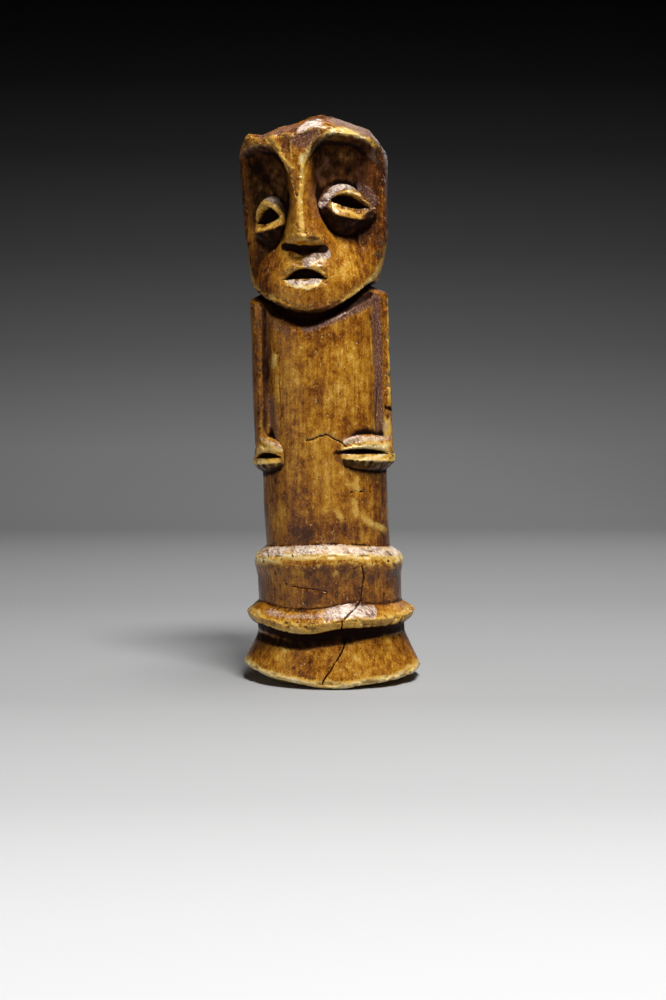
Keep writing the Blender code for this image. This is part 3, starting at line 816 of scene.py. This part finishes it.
def zones_of(angle, height):
    """Where the carving gathers smoke and oil or is kept clean, and where shade and shadows are
    painted, from 0 to 1 for each kind of place.
    """
    turned = angle - FACE_TURN
    inner = np.abs(turned + 4) - 4 * ease(height, 118, 112)
    carved = ease(inner, 3, 15) * (1 - ease(np.abs(turned), 62, 80))
    left = turned < 0
    fade = np.where(left, ease(height, 116, 124), ease(height, 122, 135))
    # The eye hollows under the brows: dark patina and painted shade, reaching lower on the left, which
    # turns from the light.
    socket_patina_and_shade = carved * ease(brows(turned) - height, -0.9, 0.7) * (0.25 + 0.75 * fade)
    below_jaw = jaw_height(angle) - height
    reach = neck_reach(angle)
    # Under the jaw: painted shadow of the jaw and chin on the neck.
    neck = ease(below_jaw, -0.9, 0.4) * (1 - ease(below_jaw, 0.45 * reach, 0.85 * reach))
    # Painted shadow under the lower ring's edge.
    lower = ring_2_lower_height(angle)
    shade_under_ring = ease(height, lower - 4.4, lower - 2.4) * (1 - ease(height, lower - 0.7, lower - 0.1))
    seen_eyes = on_eyes(turned, height)
    seen_hands = on_hands(angle, height)
    # The cuts of the eyes, hands and mouth: dark patina and painted shadow.
    slits = np.maximum(either(in_slit, seen_eyes, EYES), either(in_slit, seen_hands, HANDS))
    opening, inside, _ = mouth_opening(turned)
    mouth = inside * ramp(height, MOUTH_LINE, MOUTH_LINE + 0.2) * ramp(height, opening, opening - 0.25)
    temples = ease(np.abs(turned + 4), 52, 82)
    temples = temples * ease(height, 104, 122) * ease(height, 147, 142)
    lids, shade_under_lids = either(lens_parts, seen_eyes, EYES)
    fingers, shade_under_hands = either(lens_parts, seen_hands, HANDS)
    # Painted shade on the slopes under the eyes' lower lids and, weaker, under the hands.
    shades = np.maximum(shade_under_lids, 0.75 * shade_under_hands)
    joint = RING_1_JOINT + 1.3 * front_share(angle)
    chamfer = ramp(height, joint - 3, joint - 2.2) * ramp(height, joint + 0.1, joint - 0.4)
    collar = ease(below_jaw, 1.5, 3) * (1 - ease(below_jaw, 9, 11))
    return {
        "socket_patina_and_shade": socket_patina_and_shade * (1 - lids),
        "neck": neck,
        "shade_under_ring": shade_under_ring,
        "slits": np.maximum(slits, mouth),
        "temples": temples,
        "lids": np.maximum(lids, fingers),
        "shades": shades,
        "chamfer": chamfer,
        "shoulder": bump(height, joint - 3.3, 1.1),
        "joint": bump(height, joint, 0.55),
        "near_joint": bump(height, joint, 4.5),
        "collar": collar,
        "grooves": np.clip(arm_grooves(angle), 0, 1) * ease(height, ARM_FOOT + 2, ARM_FOOT + 6),
    }


def drawn(pixels, lines, spots=(), edge=0.6):
    """The strongest of the lines and spots at each point."""
    strongest = np.zeros(pixels[0].shape)
    for points, half_width, softness, strength in lines:
        strongest = np.maximum(strongest, strength * stroke(pixels, points, half_width, softness))
    for centre, reach, strength in spots:
        strongest = np.maximum(strongest, strength * spot(pixels, centre, reach, edge))
    return strongest


def patina(places, normals, pixels, cracks, pits, zones):
    """How dirty, rubbed, chalky, cracked and stained each point is, and where shade, shadows,
    highlights and a reflection are painted.
    """
    fine = standing_out(places, normals, 3)
    middle = standing_out(places, normals, 10)
    wide = standing_out(places, normals, 34)
    ragged = rough(places, 1.5, 51)
    height = places[..., 2]
    loose = (
        pixels[0] + 1.3 * noise(places, 1.8, 53) + 0.8 * noise(places, 0.7, 57),
        pixels[1] + 1.3 * noise(places, 1.8, 59) + 0.8 * noise(places, 0.7, 61),
        pixels[2],
    )

    # Smoke and oil, in the hollows and where hands don't reach, and painted shade: the hollows darken
    # by how deep they are, partly as painted shade, and painted shadows fall under the jaw, the lower
    # ring, the nose, the lids and the hands, and in the cuts.
    dirt_and_shade = 0.85 * ramp(-wide, 0.35, 2.2) + 0.75 * ramp(-middle, 0.06, 0.40)
    dirt_and_shade = dirt_and_shade + 0.35 * ramp(-fine, 0.02, 0.10)
    clean = (1 - 0.9 * zones["lids"]) * (1 - 0.85 * zones["near_joint"])
    dirt_and_shade = dirt_and_shade * clean * (1 - 0.75 * zones["grooves"]) * (1 - 0.4 * bump(height, 21.5, 4))
    dirt_and_shade = np.maximum(dirt_and_shade, drawn(pixels, DARK_LINES))
    dirt_and_shade = np.maximum(dirt_and_shade, drawn(loose, (), DARK_SPOTS, 0.9))
    rims = bump(height, 17.2, 2.8) + 0.6 * bump(height, 1.6, 2.6)
    # Darkenings: the eye hollows' patina with painted shade, painted shadows under the jaw, under the
    # lower ring and under the lids and hands, the cuts' patina with painted shadow, and the dark joint,
    # rims, pits and cracks.
    for darkening in (
        0.70 * zones["socket_patina_and_shade"] * (1 - 0.35 * ramp(ragged, -0.3, 1)),
        zones["neck"],
        0.9 * zones["shade_under_ring"],
        0.85 * zones["shades"] * (1 - 0.2 * ramp(ragged, -0.3, 0.8)),
        1.2 * zones["slits"],
        0.75 * zones["joint"] * ramp(ragged, -0.6, 0.1),
        0.62 * rims * ramp(rough(places, 1.4, 89), 0.05, 0.6),
        0.8 * pits,
        cracks,
    ):
        dirt_and_shade = np.maximum(dirt_and_shade, darkening)

    # Edges rubbed down to cream, and painted highlights drawn on the nose ridge, the bridge and the
    # philtrum.
    rubbed = 0.95 - 0.35 * ease(height, 38, 46) - 0.55 * ease(height, 62, 67)
    rubbed = (rubbed + 0.22 * ease(height, 96, 104)) * (1 - 0.9 * zones["collar"])
    rubbed = rubbed - 0.45 * bump(height, 16.5, 4.5) - 0.25 * bump(height, 2, 6)
    wear_and_highlight = rubbed * ramp(middle + 0.07 * ragged, 0.12, 0.40) + 0.25 * rubbed * ramp(fine, 0.03, 0.10)
    wear_and_highlight = np.maximum(wear_and_highlight, drawn(loose, WORN_AND_HIGHLIGHT_LINES, WORN_AND_HIGHLIGHT_SPOTS))
    patchy = 0.40 * bump(height, 17, 4) * ramp(rough(places, 3.4, 79), -0.3, 0.5)
    patchy = 0.86 + 0.30 * rough(places, 2.6, 73) - patchy
    wear_and_highlight = wear_and_highlight * patchy * (1 - zones["neck"]) * (1 - 0.75 * zones["temples"])
    wear_and_highlight = np.maximum(wear_and_highlight, 0.55 * zones["chamfer"] * ramp(ragged, -0.9, 0.3))
    wear_and_highlight = np.maximum(wear_and_highlight, 0.85 * zones["shoulder"] * ramp(rough(places, 1.8, 83), -0.8, 0.2))

    # Chalky deposits, and painted highlights drawn on the philtrum, the crown's facet and the lower
    # ring's top.
    chalk_and_highlight = 0.35 * ramp(-middle + 0.05 * ragged, 0.05, 0.25) * ramp(rough(places, 5, 67), -0.2, 0.5)
    chalk_and_highlight = np.maximum(chalk_and_highlight, drawn(loose, CHALK_AND_HIGHLIGHT_LINES))
    on_chamfer = 0.95 * zones["chamfer"] * ramp(rough(places, (3.4, 3.4, 1.6), 71), -0.95, 0.15)
    chalk_and_highlight = np.maximum(chalk_and_highlight, on_chamfer)

    # Darker and lighter parts of the brown, with painted shade on the sides of the lower body and
    # painted light and shade in the spots.
    tone_light_and_shade = -0.95 * zones["temples"] - 0.30 * ease(height, 33, 30) * ease(height, 20, 22)
    tone_light_and_shade = tone_light_and_shade - 0.25 * bump(height, 40, 6) - 0.45 * ease(height, 139, 143)
    # Painted shade on the surfaces that face the sides, on the lower body.
    sides = ease(np.abs(normals[..., 0]), 0.70, 0.98)
    tone_light_and_shade = tone_light_and_shade - 0.35 * sides * ease(height, 60, 40)
    for centre, reach, strength in LIGHT_SHADE_AND_TONE_SPOTS:
        tone_light_and_shade = tone_light_and_shade + strength * spot(loose, centre, reach, 0.85)

    marks = {"dirt_and_shade": dirt_and_shade, "wear_and_highlight": wear_and_highlight, "chalk_and_highlight": chalk_and_highlight, "purple_and_reflection": drawn(loose, PURPLE_AND_REFLECTION_LINES)}
    marks = {name: np.clip(values, 0, 1) for name, values in marks.items()}
    return {**marks, "tone_light_and_shade": np.clip(tone_light_and_shade, -1, 1)}


def make_figure():
    """The carved figure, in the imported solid's place."""
    angle, share = grid()
    angles, shares = np.meshgrid(angle, share)
    carved = np.stack(carved_places(angles, shares), axis=2)
    zones = zones_of(angles, carved[..., 2])
    places = settled(carved)
    normals = normals_of(places)
    pixels = seen_from_camera(places, normals)
    relief, cracks, pits = main_relief(places, normals, pixels)
    standing = ramp(places[..., 2], 0, 0.6)
    places = places + normals * (relief * standing)[..., None]
    places[..., 2] = np.maximum(places[..., 2], 0)
    normals = normals_of(places)
    marks = patina(places, normals, pixels, cracks, pits, zones)
    figure = bpy.data.objects.new("carved_figure", make_mesh(places / MM_PER_METRE, marks))
    bpy.context.scene.collection.objects.link(figure)
    reduce(figure, TRIANGLES)
    figure.data.shade_smooth()
    return figure


# The material. Its browns, creams, chalks and duller browns run from dark to light. The chalks' whites
# also serve as painted highlights, and the duller browns partly as a painted reflection of the grey
# surroundings.

BROWNS = (
    (0, (0.040, 0.010, 0.002)),
    (0.22, (0.125, 0.032, 0.003)),
    (0.42, (0.265, 0.090, 0.005)),
    (0.60, (0.410, 0.168, 0.010)),
    (0.78, (0.540, 0.275, 0.030)),
    (1, (0.720, 0.480, 0.140)),
)
CREAMS = ((0.30, (0.70, 0.50, 0.18)), (0.55, (0.82, 0.68, 0.36)), (0.72, (0.88, 0.80, 0.58)))
CHALKS = (
    (0.36, (0.085, 0.036, 0.026)),
    (0.44, (0.34, 0.22, 0.185)),
    (0.52, (0.62, 0.50, 0.40)),
    (0.64, (0.88, 0.80, 0.69)),
)
DUSKS = ((0.34, (0.042, 0.013, 0.009)), (0.52, (0.125, 0.050, 0.033)), (0.70, (0.33, 0.20, 0.15)))
HONEY = (0.60, 0.34, 0.055, 1)
SPECK = (0.72, 0.52, 0.22, 1)
# Smoke-dark and soot-black for patina, also used as painted shade and painted shadows.
DARK_PATINA_AND_SHADE = (0.040, 0.010, 0.002, 1)
BLACK_PATINA_AND_SHADOW = (0.008, 0.002, 0.001, 1)
SCRATCH_TILT = 38
SHEEN_TINT = (1, 0.86, 0.68, 1)


class Tree:
    """Adds nodes to a material and joins them."""

    def __init__(self, material):
        material.use_nodes = True
        self.tree = material.node_tree
        self.shader = self.tree.nodes["Principled BSDF"]

    def node(self, kind, inputs=(), **settings):
        """A new node, with its settings, and with a value or a link on each named input."""
        new = self.tree.nodes.new(kind)
        for name, value in settings.items():
            setattr(new, name, value)
        self.fill(new, dict(inputs))
        return new

    def fill(self, node, inputs):
        for name, value in inputs.items():
            if isinstance(value, bpy.types.NodeSocket):
                self.tree.links.new(value, node.inputs[name])
            else:
                node.inputs[name].default_value = value

    def maths(self, operation, first, second=0, clamp=False):
        inputs = {0: first, 1: second}
        return self.node("ShaderNodeMath", inputs, operation=operation, use_clamp=clamp).outputs[0]

    def mark(self, name):
        return self.node("ShaderNodeAttribute", attribute_name=name).outputs["Fac"]

    def swing(self, pattern, weight):
        """A pattern, from minus half its weight to half its weight."""
        return self.maths("MULTIPLY", self.maths("SUBTRACT", pattern, 0.5), weight)

    def broken(self, name, pattern, weight):
        """A mark, broken up by a pattern."""
        return self.maths("ADD", self.mark(name), self.swing(pattern, weight))

    def stretched(self, scale, tilt):
        """The object's own places, tilted about Y and scaled to lumps per metre each way."""
        place = self.node("ShaderNodeTexCoord").outputs["Object"]
        turn = {"Vector": place, "Angle": math.radians(tilt)}
        turned = self.node("ShaderNodeVectorRotate", turn, rotation_type="Y_AXIS").outputs["Vector"]
        return self.node("ShaderNodeMapping", {"Vector": turned, "Scale": scale}).outputs["Vector"]

    def noise(self, scale, detail=3, roughness=0.55, tilt=0):
        place = self.stretched(scale, tilt)
        inputs = {"Vector": place, "Scale": 1, "Detail": detail, "Roughness": roughness}
        return self.node("ShaderNodeTexNoise", inputs).outputs["Fac"]

    def span(self, value, start, end, low=0, high=1):
        inputs = {"Value": value, "From Min": start, "From Max": end, "To Min": low, "To Max": high}
        node = self.node("ShaderNodeMapRange", inputs, interpolation_type="SMOOTHSTEP")
        return node.outputs["Result"]

    def ramp(self, value, stops):
        node = self.node("ShaderNodeValToRGB", {"Fac": value})
        band = node.color_ramp
        band.elements[0].position = stops[0][0]
        band.elements[0].color = (*stops[0][1], 1)
        band.elements[1].position = stops[-1][0]
        band.elements[1].color = (*stops[-1][1], 1)
        for place, colour in stops[1:-1]:
            band.elements.new(place).color = (*colour, 1)
        return node.outputs["Color"]

    def mix(self, factor, first, second):
        inputs = {"Factor": factor, 6: first, 7: second}
        return self.node("ShaderNodeMix", inputs, data_type="RGBA").outputs[2]


def bone_material():
    """Old bone: golden brown patina, dark in the hollows with patina and painted shade, rubbed to cream
    at the edges, with painted shadows, highlights and reflections.
    """
    material = bpy.data.materials.new("patinated_bone")
    tree = Tree(material)
    blotch = tree.noise((110, 110, 90), 4)
    grain = tree.noise((1300, 1300, 110), 3)
    mottle = tree.noise((600, 600, 450), 4, 0.6)
    speckle = tree.noise((2600, 2600, 2200), 3, 0.6)
    # The mark of darker and lighter parts, with its painted light and shade, under random blotches,
    # grain and speckles.
    tone_light_and_shade = tree.maths("MULTIPLY", tree.mark("tone_light_and_shade"), 0.42)
    for pattern, weight in ((blotch, 1.25), (grain, 0.65), (mottle, 1.05), (speckle, 0.85)):
        tone_light_and_shade = tree.maths("ADD", tone_light_and_shade, tree.swing(pattern, weight))
    tone_light_and_shade = tree.maths("ADD", tone_light_and_shade, 0.47, clamp=True)
    colour = tree.ramp(tone_light_and_shade, BROWNS)
    # Rubbed honey and cream, with the painted highlights of the nose ridge and the philtrum.
    wear_and_highlight = tree.broken("wear_and_highlight", speckle, 0.7)
    colour = tree.mix(tree.span(wear_and_highlight, 0.12, 0.55), colour, HONEY)
    colour = tree.mix(tree.span(wear_and_highlight, 0.48, 0.98), colour, tree.ramp(mottle, CREAMS))
    # Dusky browns, part the bone's colour and part a painted reflection of the grey surroundings.
    purple_and_reflection = tree.span(tree.broken("purple_and_reflection", speckle, 0.7), 0.2, 0.9, 0, 0.92)
    colour = tree.mix(purple_and_reflection, colour, tree.ramp(speckle, DUSKS))
    scratches = tree.noise((2600, 2600, 260), 2, 0.5, SCRATCH_TILT)
    chalkiness = tree.maths("MULTIPLY", tree.maths("ADD", scratches, mottle), 0.5)
    # Chalky whites, with painted highlights among them.
    chalk_and_highlight = tree.span(tree.broken("chalk_and_highlight", speckle, 0.8), 0.25, 0.95, 0, 0.88)
    colour = tree.mix(chalk_and_highlight, colour, tree.ramp(chalkiness, CHALKS))
    specks = tree.span(tree.noise((1500, 1500, 1300), 1), 0.68, 0.76, 0, 0.55)
    colour = tree.mix(specks, colour, SPECK)
    # Smoke and soot darkening, with painted shade and painted shadows.
    dirt_and_shade = tree.span(tree.broken("dirt_and_shade", mottle, 0.9), 0.12, 0.92, 0, 0.97)
    colour = tree.mix(tree.span(dirt_and_shade, 0, 0.6, 0, 0.85), colour, DARK_PATINA_AND_SHADE)
    colour = tree.mix(tree.span(dirt_and_shade, 0.45, 1), colour, BLACK_PATINA_AND_SHADOW)
    roughness = tree.span(mottle, 0.3, 0.7, 0.24, 0.42)
    for mark, weight in ((chalk_and_highlight, 0.22), (purple_and_reflection, 0.18), (dirt_and_shade, 0.22)):
        roughness = tree.maths("ADD", roughness, tree.maths("MULTIPLY", mark, weight))
    height = tree.maths("ADD", tree.maths("MULTIPLY", speckle, 0.5), tree.maths("MULTIPLY", grain, 0.6))
    bumped = tree.node("ShaderNodeBump", {"Strength": 0.45, "Distance": 0.00016, "Height": height})
    tree.fill(tree.shader, {
        "Base Color": colour,
        "Roughness": roughness,
        "Normal": bumped.outputs["Normal"],
        "Specular Tint": SHEEN_TINT,
        "Specular IOR Level": tree.span(dirt_and_shade, 0.15, 0.8, 0.42, 0.06),
        "Coat Weight": tree.span(dirt_and_shade, 0.1, 0.6, 0.15, 0),
        "Coat Roughness": 0.18,
    })
    return material


# The floor's grey from the front to the back, and how the backdrop darkens upwards.
FLOOR_GREYS = ((0, 0.62), (0.034, 0.43), (0.093, 0.33), (0.31, 0.31), (0.64, 0.38), (1, 0.42))
BACKDROP_GREYS = (
    (0, 1), (0.117, 0.95), (0.313, 0.50), (0.5, 0.24), (0.70, 0.08), (0.85, 0.022), (1, 0.001)
)
BACKDROP_DARK_HEIGHT = 0.54
SWEEP_HALF_WIDTH = 2
SWEEP_FRONT = -2
SWEEP_BACK = 1
SWEEP_TOP = 1.6
SWEEP_BEND = 0.35
BEND_STEPS = 16

# Each light: its name, place, size and watts.
LIGHTS = (
    ("key", (0.10, -0.26, 0.64), (0.18, 0.14), 5.5),
    ("overhead", (0.06, -0.02, 0.62), (0.16, 0.12), 1.6),
    ("left_fill", (-0.60, -0.45, 0.20), (0.5, 0.5), 0.36),
    ("back", (0.30, 0.60, 0.45), (0.5, 0.3), 0.45),
)
LIT_POINT = (0, 0, 0.08)
SURROUNDINGS_GREY = 0.5
SURROUNDINGS_STRENGTH = 0.10
SENSOR_WIDTH = 36


def floor_material():
    """A plain pale floor that darkens smoothly into a grey backdrop."""
    material = bpy.data.materials.new("studio_sweep")
    tree = Tree(material)
    place = tree.node("ShaderNodeTexCoord").outputs["Object"]
    parts = tree.node("ShaderNodeSeparateXYZ", {"Vector": place}).outputs
    away = tree.span(parts["Y"], -0.25, 0.9)
    floor = tree.ramp(away, tuple((place, (grey,) * 3) for place, grey in FLOOR_GREYS))
    rise = tree.maths("DIVIDE", parts["Z"], BACKDROP_DARK_HEIGHT)
    backdrop = tree.ramp(rise, tuple((place, (grey,) * 3) for place, grey in BACKDROP_GREYS))
    grey = tree.maths("MULTIPLY", floor, backdrop)
    tree.fill(tree.shader, {"Base Color": grey, "Roughness": 0.9, "Specular IOR Level": 0.1})
    return material


def make_sweep():
    """The floor, curving up into a backdrop behind the figure."""
    profile = [(SWEEP_FRONT, 0), (-0.6, 0), (0, 0), (0.3, 0)]
    for step in range(BEND_STEPS + 1):
        turn = math.radians(90 * step / BEND_STEPS)
        along = SWEEP_BACK - SWEEP_BEND + SWEEP_BEND * math.sin(turn)
        profile.append((along, SWEEP_BEND * (1 - math.cos(turn))))
    profile.append((SWEEP_BACK, SWEEP_TOP))
    vertices = [(side * SWEEP_HALF_WIDTH, y, z) for y, z in profile for side in (-1, 1)]
    faces = [(2 * i, 2 * i + 1, 2 * i + 3, 2 * i + 2) for i in range(len(profile) - 1)]
    mesh = bpy.data.meshes.new("studio_sweep")
    mesh.from_pydata(vertices, [], faces)
    mesh.shade_smooth()
    mesh.materials.append(floor_material())
    sweep = bpy.data.objects.new("studio_sweep", mesh)
    bpy.context.scene.collection.objects.link(sweep)
    sweep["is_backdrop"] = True


def light_scene():
    """A strong light from above the camera, weak ones at the sides and dim grey surroundings."""
    for name, place, size, watts in LIGHTS:
        data = bpy.data.lights.new(name, "AREA")
        data.shape = "RECTANGLE"
        data.size, data.size_y = size
        data.energy = watts
        light = bpy.data.objects.new(name, data)
        light.location = place
        light.rotation_euler = (Vector(place) - Vector(LIT_POINT)).to_track_quat("Z", "Y").to_euler()
        bpy.context.scene.collection.objects.link(light)
    world = bpy.data.worlds.new("studio_world")
    world.use_nodes = True
    background = world.node_tree.nodes["Background"]
    background.inputs["Color"].default_value = (*(SURROUNDINGS_GREY,) * 3, 1)
    background.inputs["Strength"].default_value = SURROUNDINGS_STRENGTH
    bpy.context.scene.world = world
    bpy.context.scene.view_settings.view_transform = "Standard"


def make_camera():
    """The camera at the photograph's viewing angle."""
    data = bpy.data.cameras.new("camera")
    data.sensor_width = SENSOR_WIDTH
    data.lens = FOCAL_PIXELS * SENSOR_WIDTH / IMAGE_HEIGHT
    data.clip_start = 0.01
    camera = bpy.data.objects.new("camera", data)
    camera.location = CAMERA_PLACE
    camera.rotation_euler = (math.radians(90 - CAMERA_PITCH), 0, 0)
    bpy.context.scene.collection.objects.link(camera)
    bpy.context.scene.camera = camera


make_camera()
carved = make_figure()
carved.data.materials.append(bone_material())
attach(carved, "root")
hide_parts("bone_figure")
make_sweep()
light_scene()

boxes = {"cad": CAD_BOX, "visual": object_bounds()}
boxes = {name: [list(corner) for corner in box] for name, box in boxes.items()}
